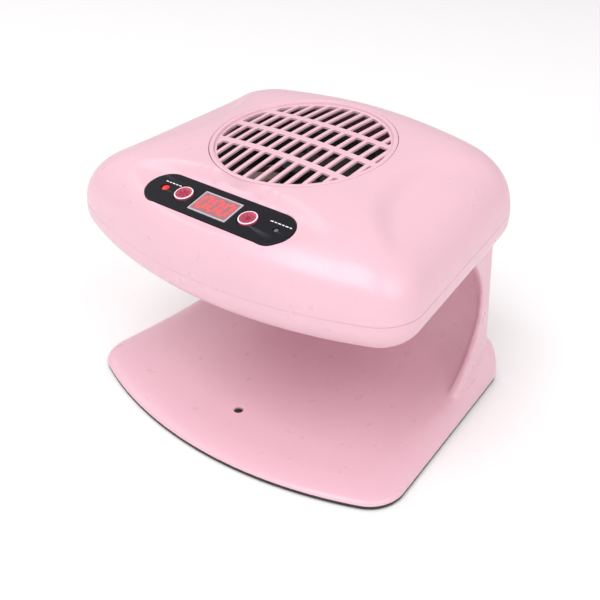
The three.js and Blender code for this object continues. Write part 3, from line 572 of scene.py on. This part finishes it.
def add_base():
    shell = base_shell()
    low, high = (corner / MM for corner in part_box("sensor_lens"))
    centre = (low + high) / 2
    top = float(floor_z(centre.y))
    rim = flare_steps(2, top, 0.5)
    cut(shell, prism("hole", circle((high.x - low.x) / 2 + GAP, centre.x, centre.y), rim))
    for node in ("inlet_socket", "power_switch_body"):
        low, high = (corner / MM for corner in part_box(node))
        size = high - low
        middle = (low + high) / 2
        window = prism("window", rectangle(size.x + 0.6, size.z + 0.6, 0.8), [(0, -14), (0, 14)])
        at_rear = Matrix.Translation(Vector((middle.x, REAR_FACE_Y, middle.z)) * MM)
        cut(shell, place(window, at_rear @ Matrix.Rotation(math.pi / 2, 4, "X")))
    stand_for("base_shell", shell, angle=40)

    plate = prism("plate", outline(BASE, PLATE_INSET), edge_steps(FOOT_LIFT, FOOT_LIFT + PLATE_THICK, 0.5))
    for i in (1, 2, 3, 4):
        cut(plate, node_hole(f"rubber_foot_{i}", GAP, 0, 6), node_hole(f"plate_screw_{i}", 0.4, 0, 6))
        add_foot(f"rubber_foot_{i}")
        add_screw(f"plate_screw_{i}")
    for x in range(-40, 41, 8):
        cut(plate, prism("vent", rectangle(3.2, 26, 1.5, x, 28), [(0, 0), (0, 6)]))
    stand_for("bottom_plate", plate)


def at_node(node, obj):
    """Moves a piece that was made about the z axis to the middle of its node, seen from above."""
    low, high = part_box(node)
    middle = (low + high) / 2
    return place(obj, Matrix.Translation((middle.x, middle.y, 0)))


def spans(node):
    """Radius, lowest and highest z of an upright round node, in millimetres."""
    low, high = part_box(node)
    return (high.x - low.x) / 2 / MM, low.z / MM, high.z / MM


def add_foot(node):
    radius, z0, z1 = spans(node)
    foot = lathe("foot", rounded_profile(radius, z0, z1, 0.7))
    cut(foot, lathe("dimple", [(radius * 0.55, z0 - 1), (radius * 0.55, z0 + 0.5), (radius * 0.4, z0 + 0.7)]))
    stand_for(node, at_node(node, foot))


def add_screw(node):
    """Pan head with a cross recess, on a threaded shank."""
    radius, z0, z1 = spans(node)
    head = 1.8
    profile = [(radius * 0.5, z0), (radius * 0.85, z0 + 0.25), (radius, z0 + 0.8), (radius, z0 + head)]
    pitch, core, crest = 0.9, 1.15, 1.5
    z = z0 + head
    while z + pitch < z1 - 0.5:
        profile += [(core, z), (crest, z + pitch / 2)]
        z += pitch
    profile += [(core, z), (0.5, z1)]
    screw = lathe("screw", profile, 32)
    recess = [(0.1, z0 - 1), (0, z0), (-0.1, z0 + 1.1)]
    for turn in (0, math.pi / 2):
        slot = prism("slot", rectangle(radius * 1.25, radius * 0.24, 0.15), recess)
        cut(screw, place(slot, Matrix.Rotation(turn + 0.4, 4, "Z")))
    stand_for(node, at_node(node, screw))


# ---- Head ----


def top_rows(edges, drop, rows=58):
    """Rows from the seam in to the ring's hole, close together where the dome turns fastest."""
    power = dome_power(edges)
    reach = np.hypot(edges[:, 0], edges[:, 1] - RING_Y)
    start = np.arcsin(((SEAM_RISE + 0.6) / DOME_RISE) ** (power / 2))
    end = np.arccos(((RING_HOLE + 0.8) / reach) ** (power / 2))
    result = []
    for share in np.linspace(0, 1, rows) ** 1.6:
        fraction = np.cos(start + (end - start) * share) ** (2 / power)
        height = np.minimum(top_z(edges, fraction), TOP_LIMIT)
        result.append(np.column_stack([towards(edges, fraction), height - drop]))
    return result


def circle_row(edges, radius, z):
    return row(towards(edges, radius / np.hypot(edges[:, 0], edges[:, 1] - RING_Y)), z)


def add_upper_shell():
    edges = outline(HEAD)
    seam = lambda y: belt_z(y) + SEAM_RISE
    rim = [row(outline(HEAD, 0.35 * (1 - math.sin(a))), lambda y: seam(y) + 0.35 * (1 - math.cos(a)))
           for a in np.linspace(0, math.pi / 2, 5)]
    lip = [circle_row(edges, RING_HOLE + 0.8 * (1 - math.sin(a)),
                      lambda y: np.minimum(ring_z(y), TOP_LIMIT) - 0.8 * (1 - math.cos(a)))
           for a in np.linspace(0.3, math.pi / 2, 5)]
    inner = outline(HEAD, WALL)
    inside = [circle_row(edges, RING_HOLE, lambda y: ring_z(y) - WALL)]
    inside += [r for r in reversed(top_rows(inner, WALL, 16))] + [row(inner, seam)]
    shell = loft("upper", [*rim, *top_rows(edges, 0), *lip, *inside], ring=True)
    pocket_plan = stadium(PANEL_HALF_LENGTH + GAP, PANEL_HALF_HEIGHT + GAP)
    pocket = prism("pocket", pocket_plan, flare_steps(-14, 0, 0.5))
    cut(shell, place(pocket, PANEL_FRAME))
    stand_for("upper_shell", shell)


def add_lower_shell():
    edges = outline(HEAD)
    hole = OUTLET_RADIUS + GAP
    under = lambda lift: circle_row(edges, hole, lambda y: belt_z(y) - CHIN_DROP + lift)
    top = SEAM_RISE - 0.12
    outer = [under(0), circle_row(edges, hole + 1, lambda y: belt_z(y) - CHIN_DROP), *chin_rows(0, top, 22)]
    outer[-1:] = [row(outline(HEAD, 0.35 * (1 - math.cos(a))),
                      lambda y: belt_z(y) + top - 0.35 * (1 - math.sin(a)))
                  for a in np.linspace(0, math.pi / 2, 4)]
    inner = [under(WALL), *chin_rows(-WALL, top, 8)]
    shell = loft("lower", [*outer, *reversed(inner)], ring=True)
    for i in (1, 2, 3, 4):
        node = f"head_screw_{i}"
        low, high = (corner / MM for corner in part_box(node))
        middle = (low + high) / 2
        boss = prism("boss", circle(5.5, middle.x, middle.y), [(0, low.z - 8.4), (0, high.z - 12)])
        well = prism("well", circle(3.6, middle.x, middle.y), [(0, low.z - 20), (0, low.z + 2.6)])
        bore = prism("bore", circle(1.8, middle.x, middle.y), [(0, low.z), (0, high.z)])
        cut(join(shell, boss), well, bore)
        add_screw(node)
    low, high = (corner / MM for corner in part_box("wire_harness"))
    window = prism("window", rectangle(14, 7, 1.5, (low.x + high.x) / 2, HARNESS_Y), [(0, 120), (0, 142)])
    stand_for("lower_shell", cut(shell, window))


# ---- Intake grille ----



def tilted_frame(y, z, tilt):
    """Frame on the middle plane whose z axis leans to the front by the given angle."""
    return Matrix.Translation(Vector((0, y, z)) * MM) @ Matrix.Rotation(tilt, 4, "X")


RING_FRAME = tilted_frame(RING_Y, RING_Z, math.radians(RING_TILT))
SLOT_FIELD, SLOT_PITCH, SLOT_WIDTH, SLOT_SHIFT, ROW_PITCH, CROSSBAR = 60.9, 9.9, 6.7, 2.8, 26.1, 5.3
GRILLE_THICK, GRILLE_SINK, GRILLE_CROWN, RIM_DEPTH = 1.8, 2, 3.3, 6


def crown(x, y):
    return GRILLE_CROWN * (1 - (x * x + y * y) / SLOT_FIELD ** 2) - GRILLE_SINK


def slot_outline(x0, x1, y0, y1):
    """Slot between two crossbars, ended by the field's circle where that comes first."""
    xs = np.linspace(max(x0, 0.1 - SLOT_FIELD), min(x1, SLOT_FIELD - 0.1), 7)
    limit = np.sqrt(SLOT_FIELD ** 2 - xs ** 2)
    low, high = np.maximum(y0, -limit), np.minimum(y1, limit)
    keep = high - low > 1
    if xs[-1] - xs[0] < 0.6 or keep.sum() < 3:
        return None
    xs, low, high = xs[keep], low[keep], high[keep]
    return rounded(np.vstack([np.stack([xs, low], -1), np.stack([xs, high], -1)[::-1]]), 0.6)


def rounded(points, radius):
    """Replaces each sharp corner of an outline by a small curve."""
    result = []
    for i, p in enumerate(points):
        a, b = points[i - 1] - p, points[(i + 1) % len(points)] - p
        la, lb = np.linalg.norm(a), np.linalg.norm(b)
        if a @ b / (la * lb) < -0.8:
            result.append(p)
            continue
        r = min(radius, la * 0.45, lb * 0.45)
        start, end = p + a / la * r, p + b / lb * r
        for t in (0, 0.33, 0.67, 1):
            result.append(start * (1 - t) ** 2 + p * 2 * t * (1 - t) + end * t * t)
    return np.array(result)


def add_intake_grille():
    top = [(r, float(crown(r, 0))) for r in np.linspace(SLOT_FIELD + 0.4, 2, 14)]
    under = [(r, z - GRILLE_THICK) for r, z in reversed(top)]
    outside = RING_RADIUS + 0.12
    rim = [(SLOT_FIELD + 1, -5.8), (SLOT_FIELD + 1.4, -RIM_DEPTH), (outside - 0.3, -RIM_DEPTH),
           (outside, -5.7), (outside, -0.7), (outside - 0.15, -0.3), (outside - 0.6, 0),
           (outside - 1.2, 0.1), (SLOT_FIELD + 2.6, 0.1), (SLOT_FIELD + 2.1, -0.15),
           (SLOT_FIELD + 1.7, -0.8), (SLOT_FIELD + 1.4, -1.8), (SLOT_FIELD + 0.9, -2.1)]
    grille = lathe("grille", [*under, *rim, *top], 160)
    half = SLOT_WIDTH / 2
    for line in (-1.5, -0.5, 0.5, 1.5):
        near, far = ((abs(line) + side * 0.5) * ROW_PITCH - side * CROSSBAR / 2 for side in (-1, 1))
        ends = sorted((math.copysign(near, line), math.copysign(99 if abs(line) > 1 else far, line)))
        for i in range(-7, 7):
            x = SLOT_SHIFT + i * SLOT_PITCH
            if abs(x) - half < SLOT_FIELD - 0.8:
                plan = slot_outline(x - half, x + half, *ends)
                if plan is not None:
                    cut(grille, prism("slot", plan, flare_steps(-9, 0, 0.4, 3), crown))
    stand_for("intake_grille", place(grille, RING_FRAME))


# ---- Control panel ----

PANEL_FRAME = tilted_frame(PANEL_Y, PANEL_Z, math.radians(PANEL_TILT))
PANEL_TOP, PANEL_BACK = 0.5, -1.8
DISPLAY_X, DISPLAY_SIZE = -1.6, (33.9, 20.7)
BUTTON_X, BUTTON_RADIUS = 28.4, 7
LEDS = {"indicator_left": (-47.5, 2.9), "indicator_right": (50, 1.8)}


def stadium(half_length, radius, steps=20):
    shift = half_length - radius
    return np.vstack([arc(shift, 0, radius, -math.pi / 2, math.pi / 2, steps),
                      [[shift, radius], [-shift, radius]],
                      arc(-shift, 0, radius, math.pi / 2, 1.5 * math.pi, steps)[1:],
                      [[-shift, -radius]]])


def add_print(name, plan):
    """Printed mark, a thin raised film on the panel."""
    z = PANEL_TOP - 0.02
    mark = prism(name, plan, [(0, z), (0, z + 0.12 * 0.6), (-0.04, z + 0.12)])
    add(place(mark, PANEL_FRAME), "housing", "panel_dark", PRINT_WHITE)


def add_panel():
    plan = stadium(PANEL_HALF_LENGTH, PANEL_HALF_HEIGHT)
    panel = prism("panel", plan, edge_steps(PANEL_BACK, PANEL_TOP, 0.45))
    window = rectangle(*DISPLAY_SIZE, 0.8, DISPLAY_X)
    cut(panel, prism("hole", window, flare_steps(-5, PANEL_TOP, 0.3)))
    for side in (-1, 1):
        hole = circle(BUTTON_RADIUS + GAP, DISPLAY_X + side * BUTTON_X)
        cut(panel, prism("hole", hole, flare_steps(-5, PANEL_TOP, 0.3)))
        pillar = prism("pillar", circle(2.6, side * 56), [(0, -9.7), (0, PANEL_BACK + 0.3)])
        join(panel, pillar)
        cut(panel, prism("bore", circle(1.5, side * 56), [(0, -11), (0, PANEL_BACK - 0.3)]))
    for x, radius in LEDS.values():
        cut(panel, prism("hole", circle(radius + GAP, x), flare_steps(-5, PANEL_TOP, 0.25)))
    stand_for("control_panel", place(panel, PANEL_FRAME))
    add_display()
    for node, (x, radius) in LEDS.items():
        dome = [(radius * math.cos(a), -0.6 + 1.1 * math.sin(a)) for a in np.linspace(0, 1.45, 9)]
        led = lathe(node, [(radius * 0.6, -9.7), (radius, -9.4), (radius, -1), *dome], 40)
        place(led, PANEL_FRAME @ Matrix.Translation((x * MM, 0, 0)))
        stand_for(node, led)
    for node, side, symbol in (("cool_button", -1, snowflake), ("hot_button", 1, sun)):
        add_key(node, DISPLAY_X + side * BUTTON_X, symbol)
    add_legends()


def add_key(node, x, symbol):
    """Dished cap with a pale rim and its symbol, on the stem that presses the switch."""
    radius = BUTTON_RADIUS - GAP
    profile = [(1.8, -4.9), (2, -4.7), (2, -1.2), (radius - 0.2, -1.2), (radius, -1.0), (radius, 1.0),
               (radius - 0.15, 1.35), (radius - 0.5, 1.55), (radius - 1.0, 1.5), (radius - 1.5, 1.15),
               (3.5, 0.95), (1.5, 0.9)]
    cap = lathe(node, profile, 72)
    to_key = PANEL_FRAME @ Matrix.Translation((x * MM, 0, 0))
    stand_for(node, place(cap, to_key))
    ring_rows = [(radius - 0.1, 1.22), (radius - 0.05, 1.3), (radius - 0.3, 1.55),
                 (radius - 0.55, 1.6), (radius - 0.95, 1.56), (radius - 1.0, 1.4)]
    angles = np.arange(72) * TAU / 72
    rows = [np.column_stack([r * np.cos(angles), r * np.sin(angles), np.full(72, z)]) for r, z in ring_rows]
    ring = loft(node + "_rim", rows, ring=True)
    add(place(ring, to_key), BODY_OF[node], "button_pink", KEY_RIM)
    for i, plan in enumerate(symbol()):
        mark = prism(f"{node}_mark_{i}", plan, [(0, 0.8), (0, 1.06), (-0.05, 1.12)])
        add(place(mark, to_key), BODY_OF[node], "button_pink", PRINT_RED)


def turned(points, angle):
    c, s = math.cos(angle), math.sin(angle)
    return points @ np.array([[c, s], [-s, c]])


def bar(length, width, x=0.0, y=0.0):
    return rectangle(length, width, min(length, width) * 0.35, x, y, 3)


def snowflake():
    """Six separate arms round a small gap, each with two branches."""
    arms = []
    for i in range(6):
        angle = i * TAU / 6
        arms.append(turned(bar(3.2, 0.55, 2.3), angle))
        for side in (-1, 1):
            branch = turned(bar(1.0, 0.45, 0.75), side * 1.0) + [2.6, 0]
            arms.append(turned(branch, angle))
    return arms


def sun():
    """Disc with eight rays."""
    rays = [turned(bar(1.3, 0.6, 3.4), i * TAU / 8) for i in range(8)]
    return [circle(1.9, steps=32), *rays]


def add_display():
    """Clear window with three seven-segment digits just under its face."""
    size = [s - 2 * GAP for s in DISPLAY_SIZE]
    lens = prism("lens", rectangle(*size, 0.7, DISPLAY_X), edge_steps(-1.4, 0.3, 0.25))
    stand_for("display_window", place(lens, PANEL_FRAME))
    # Backing plate under the lens, painted with a faint glow in place of the lit digits' light spreading
    # behind the window.
    screen = prism("screen", rectangle(30.6, 17.4, 0.6, DISPLAY_X), [(0, 0.2), (0, 0.32), (-0.05, 0.36)])
    add(place(screen, PANEL_FRAME), "housing", "display_lens", PAINTED_DIGIT_SPILL)
    pitch, width, height, stroke, slant = 9.6, 5.8, 11.6, 2.5, 0.12
    across = bar(width - stroke - 0.4, stroke)
    upright = bar(stroke, height / 2 - 0.9)
    segments = {
        "a": across + [0, height / 2],
        "b": upright + [width / 2, height / 4],
        "c": upright + [width / 2, -height / 4],
        "d": across + [0, -height / 2],
        "e": upright + [-width / 2, -height / 4],
        "f": upright + [-width / 2, height / 4],
    }
    for digit in range(3):
        x = DISPLAY_X + (digit - 1) * pitch
        for name, plan in segments.items():
            leaning = np.stack([plan[:, 0] + slant * plan[:, 1] + x, plan[:, 1]], -1)
            mark = prism(f"digit_{digit}_{name}", leaning, [(0, 0.3), (0, 0.42), (-0.05, 0.46)])
            add(place(mark, PANEL_FRAME), "housing", "display_lens", DIGIT_GLOW)


def add_legends():
    """Generic marks beside the lamps, in place of words."""
    for side, x0, count in (("left", -50.5, 5), ("right", 42.5, 6)):
        for i in range(count):
            plan = bar(1.9 if i % 2 else 2.5, 0.9, x0 + i * 3.0, 5.4)
            add_print(f"legend_{side}_{i}", plan)


# ---- Fan, heater, outlet ----


def fan_blade(turn):
    """Twisted blade that starts at the given angle and sweeps forwards towards its tip."""
    section_steps = ((-0.5, 0.3), (-0.25, 0.8), (0, 0.95), (0.25, 0.8),
                     (0.5, 0.3), (0.25, -0.8), (0, -0.95), (-0.25, -0.8))
    rows = []
    for share in np.linspace(0, 1, 9):
        r = FAN_HUB_RADIUS - 1 + (FAN_TIP_RADIUS - FAN_HUB_RADIUS + 1) * share
        twist = math.radians(40 - 16 * share)
        chord = 17 + 3 * share
        points = []
        for u, thick in section_steps:
            a, z = u * chord, 1.4 * (1 - 4 * u * u) + thick * 0.9
            around = a * math.cos(twist) - z * math.sin(twist)
            up = a * math.sin(twist) + z * math.cos(twist)
            angle = turn + 0.25 * share + around / r
            height = (FAN_BOTTOM + FAN_TOP) / 2 + np.clip(up, -8.3, 8.3)
            points.append((r * math.cos(angle), r * math.sin(angle), height))
        rows.append(np.array(points))
    return fix_normals(loft("blade", rows))


def add_fan():
    """Cup-shaped hub with its blades."""
    radius, z0, z1 = FAN_HUB_RADIUS, FAN_BOTTOM, FAN_TOP
    rotor = lathe("rotor", [(2, 185), (15, 185), (15, 172), (15.2, z0), (radius, z0), (radius, z1 - 2),
                            (radius - 0.6, z1 - 0.6), (radius - 2, z1), (2, z1)], 64)
    for i in range(FAN_BLADES):
        join(rotor, fan_blade(i * TAU / FAN_BLADES))
    cut(rotor, prism("bore", circle(1.8), [(0, 160), (0, 200)]))
    place(rotor, Matrix.Translation((0, RING_Y * MM, 0)))
    stand_for("fan_rotor", rotor)


def fix_normals(obj):
    mesh = bmesh.new()
    mesh.from_mesh(obj.data)
    bmesh.ops.recalc_face_normals(mesh, faces=mesh.faces)
    mesh.to_mesh(obj.data)
    mesh.free()
    return obj


def add_outlet():
    frame_at = tilted_frame(RING_Y, BELT_Z - CHIN_DROP, math.atan(BELT_TILT))
    grille = prism("outlet", circle(OUTLET_RADIUS, steps=96), edge_steps(-0.2, 2.4, 0.5))
    for i in range(-5, 6):
        x = i * 8
        half = math.sqrt(46 ** 2 - x ** 2)
        for side in (-1, 1):
            plan = rectangle(5, half - 2, 1.6, x, side * (half / 2 + 1))
            cut(grille, prism("slot", plan, [(1.5, -1.7), (0.5, -0.2), (0.15, 0.15), (0, 0.4), (0, 4)]))
    stand_for("outlet_grille", place(grille, frame_at))


# ---- Rear fittings ----


def out_of_rear(x, y, z):
    """Turns a piece that was made about z, so that its top points out of the rear."""
    return Matrix.Translation(Vector((x, y, z)) * MM) @ Matrix.Rotation(-math.pi / 2, 4, "X")


def add_rear_fittings():
    low, high = (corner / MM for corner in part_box("inlet_socket"))
    x, z = (low.x + high.x) / 2, (low.z + high.z) / 2
    depth = high.y - low.y
    socket = prism("socket", rectangle(high.x - low.x, high.z - low.z, 1.0), edge_steps(-depth, 0, 0.5))
    cut(socket, prism("recess", stadium(7.3, 4), flare_steps(-12, 0, 0.6)))
    for side in (-1, 1):
        cut(socket, prism("bore", circle(1.45, side * 4.3), [(0, -21), (0, -11)]))
        node = "inlet_pin_left" if side < 0 else "inlet_pin_right"
        pin = lathe(node, [(0.8, -18), (1.15, -17.6), (1.15, -2.8), (0.95, -2.3), (0.6, -2)], 32)
        stand_for(node, place(pin, out_of_rear(x + side * 4.3, high.y, z)))
    stand_for("inlet_socket", place(socket, out_of_rear(x, high.y, z)))

    low, high = (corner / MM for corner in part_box("power_switch_body"))
    x, z = (low.x + high.x) / 2, (low.z + high.z) / 2
    body = prism("switch", rectangle(high.x - low.x, high.z - low.z, 1.2), edge_steps(low.y - high.y, 0, 0.6))
    cut(body, prism("well", rectangle(17.8, 11.6, 0.6), flare_steps(-10, 0, 0.4)))
    stand_for("power_switch_body", place(body, out_of_rear(x, high.y, z)))
    add_rocker(x, high.y - 2.5, z)


def add_rocker(x, y, z):
    """Shallow V with a dished face, made along x and turned to its rest position."""
    side = np.array([[-4, -4.6], [1.2, -5.2], [1.6, -4.9], [1.25, -2.4], [0.9, 0],
                     [1.25, 2.4], [1.6, 4.9], [1.2, 5.2], [-4, 4.6]])
    body = prism("rocker", rounded(side, 0.5), edge_steps(-8.6, 8.6, 0.5))
    fix_normals(body)
    to_rear = Matrix(((0, 0, 1, 0), (1, 0, 0, 0), (0, 1, 0, 0), (0, 0, 0, 1)))
    rest = Matrix.Rotation(math.radians(10), 4, "X")
    at = Matrix.Translation(Vector((x, y, z)) * MM)
    stand_for("power_rocker", place(body, at @ rest @ to_rear))


# ---- Inner parts: the frame's own shapes with softened edges ----


def soften(node, width=0.25):
    """Copy of a node with its flat faces made whole and its edges rounded."""
    source = frame["nodes"][node]
    obj = bpy.data.objects.new(node, source.data.copy())
    bpy.context.scene.collection.objects.link(obj)
    mesh = bmesh.new()
    mesh.from_mesh(obj.data)
    bmesh.ops.remove_doubles(mesh, verts=mesh.verts, dist=1e-6)
    bmesh.ops.dissolve_limit(mesh, angle_limit=math.radians(1), verts=mesh.verts, edges=mesh.edges)
    mesh.to_mesh(obj.data)
    mesh.free()
    bevel = obj.modifiers.new("bevel", "BEVEL")
    bevel.width = width * MM
    bevel.segments = 2
    bevel.limit_method = "ANGLE"
    bevel.angle_limit = math.radians(35)
    return obj


def add_inner_parts(done):
    for node in frame["nodes"]:
        if node not in done:
            stand_for(node, soften(node))


# ---- Scene ----

CAMERA_AZIMUTH, CAMERA_ELEVATION, CAMERA_DISTANCE, CAMERA_LENS = 39.01, 32.38, 695.74, 55.42
CAMERA_AIM = (9.42, -9.01, 82.06)


def direction(azimuth, elevation):
    """Unit vector from the object towards a camera or light, with angles in degrees from the front."""
    a, e = math.radians(azimuth), math.radians(elevation)
    return Vector((math.sin(a) * math.cos(e), -math.cos(a) * math.cos(e), math.sin(e)))


def add_camera():
    data = bpy.data.cameras.new("camera")
    data.lens = CAMERA_LENS
    data.sensor_width = 36
    camera = bpy.data.objects.new("camera", data)
    bpy.context.scene.collection.objects.link(camera)
    back = direction(CAMERA_AZIMUTH, CAMERA_ELEVATION)
    camera.location = (Vector(CAMERA_AIM) + back * CAMERA_DISTANCE) * MM
    camera.rotation_euler = back.to_track_quat("Z", "Y").to_euler()
    bpy.context.scene.camera = camera


def add_light(name, azimuth, elevation, distance, size, power):
    """Soft square light that looks at the middle of the object."""
    data = bpy.data.lights.new(name, "AREA")
    data.shape = "SQUARE"
    data.size = size
    data.energy = power
    light = bpy.data.objects.new(name, data)
    bpy.context.scene.collection.objects.link(light)
    back = direction(azimuth, elevation)
    light.location = Vector((0, 0, 0.1)) + back * distance
    light.rotation_euler = back.to_track_quat("Z", "Y").to_euler()


def add_stage():
    reach = 4000
    corners = [(-reach, -reach, 0), (reach, -reach, 0), (reach, reach, 0), (-reach, reach, 0)]
    floor = object_of("floor", corners, [(0, 1, 2, 3)])
    material = bpy.data.materials.new("floor")
    material.use_nodes = True
    shader = material.node_tree.nodes["Principled BSDF"]
    shader.inputs["Base Color"].default_value = linear((250, 249, 249))
    shader.inputs["Roughness"].default_value = 0.7
    floor.data.materials.append(material)
    world = bpy.data.worlds.new("world")
    world.use_nodes = True
    background = world.node_tree.nodes["Background"]
    background.inputs["Color"].default_value = (1, 0.985, 0.985, 1)
    background.inputs["Strength"].default_value = 0.6
    bpy.context.scene.world = world
    bpy.context.scene.view_settings.view_transform = "Standard"
    add_light("key", 5, 56, 3.2, 1.8, 50)
    add_light("left", -80, 45, 3.2, 1.8, 16)
    add_light("right", 75, 45, 3.2, 1.8, 30)


add_camera()
add_stage()
add_base()
add_upper_shell()
add_lower_shell()
add_intake_grille()
add_panel()
add_fan()
add_outlet()
add_rear_fittings()
replaced = {o.name[:-5] for o in bpy.data.objects if o.name.endswith("_fine")}
add_inner_parts(replaced)
